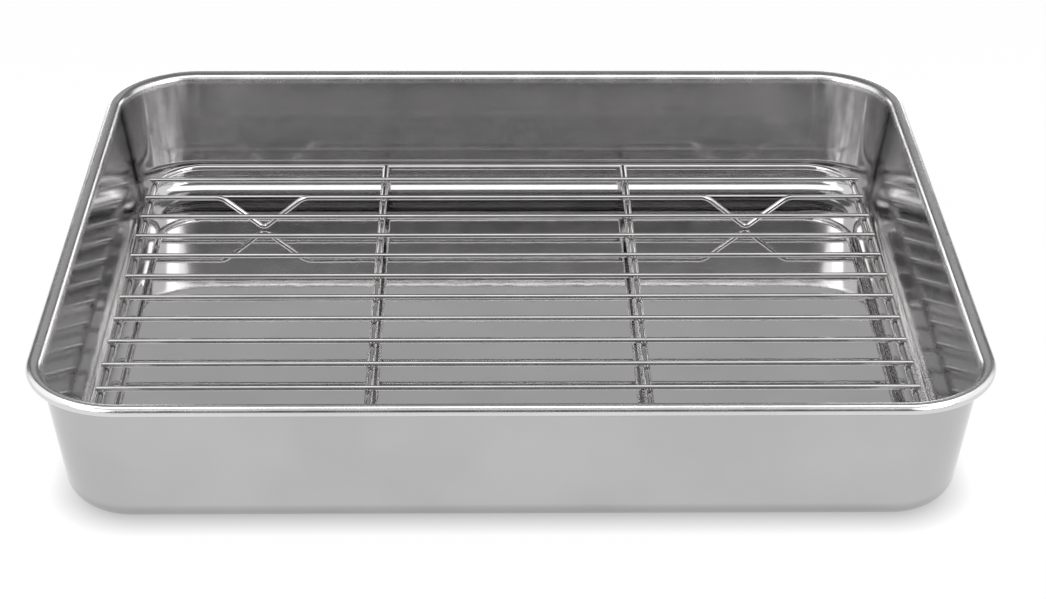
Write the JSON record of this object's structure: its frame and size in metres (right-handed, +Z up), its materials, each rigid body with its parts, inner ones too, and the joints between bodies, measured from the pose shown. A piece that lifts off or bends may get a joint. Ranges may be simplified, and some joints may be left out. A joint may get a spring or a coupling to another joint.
{
  "type": "roasting pan with rack",
  "caption": "Shallow rectangular stainless steel roasting pan with sloping walls, rounded corners and a rolled rim, holding a lift-out wire rack on V-shaped feet.",
  "frame": {"origin": "middle of the pan's flat underside", "axes": "+X along the pan's long side, +Y from the front long side to the back, +Z up out of the pan"},
  "size_m": [0.32, 0.272, 0.0508],
  "materials": {
    "pan_steel": "satin outside, bright inside",
    "rack_steel": "bright polished wire"
  },
  "bodies": {
    "pan": {"pan": "pan_steel"},
    "rack": {"rack_frame": "rack_steel", "rack_runner_left": "rack_steel", "rack_runner_right": "rack_steel", "rack_cross_wire_01": "rack_steel", "rack_cross_wire_03": "rack_steel", "rack_cross_wire_04": "rack_steel", "rack_cross_wire_05": "rack_steel", "rack_cross_wire_06": "rack_steel", "rack_cross_wire_07": "rack_steel", "rack_cross_wire_08": "rack_steel", "rack_cross_wire_09": "rack_steel", "rack_cross_wire_10": "rack_steel", "rack_cross_wire_11": "rack_steel", "rack_cross_wire_13": "rack_steel", "rack_foot_wire_02": "rack_steel", "rack_foot_wire_12": "rack_steel"}
  },
  "joints": [
    {"name": "rack_lift", "type": "slide", "parent": "pan", "child": "rack", "axis": [0, 0, 1], "range_m": [0, 0.06]}
  ]
}
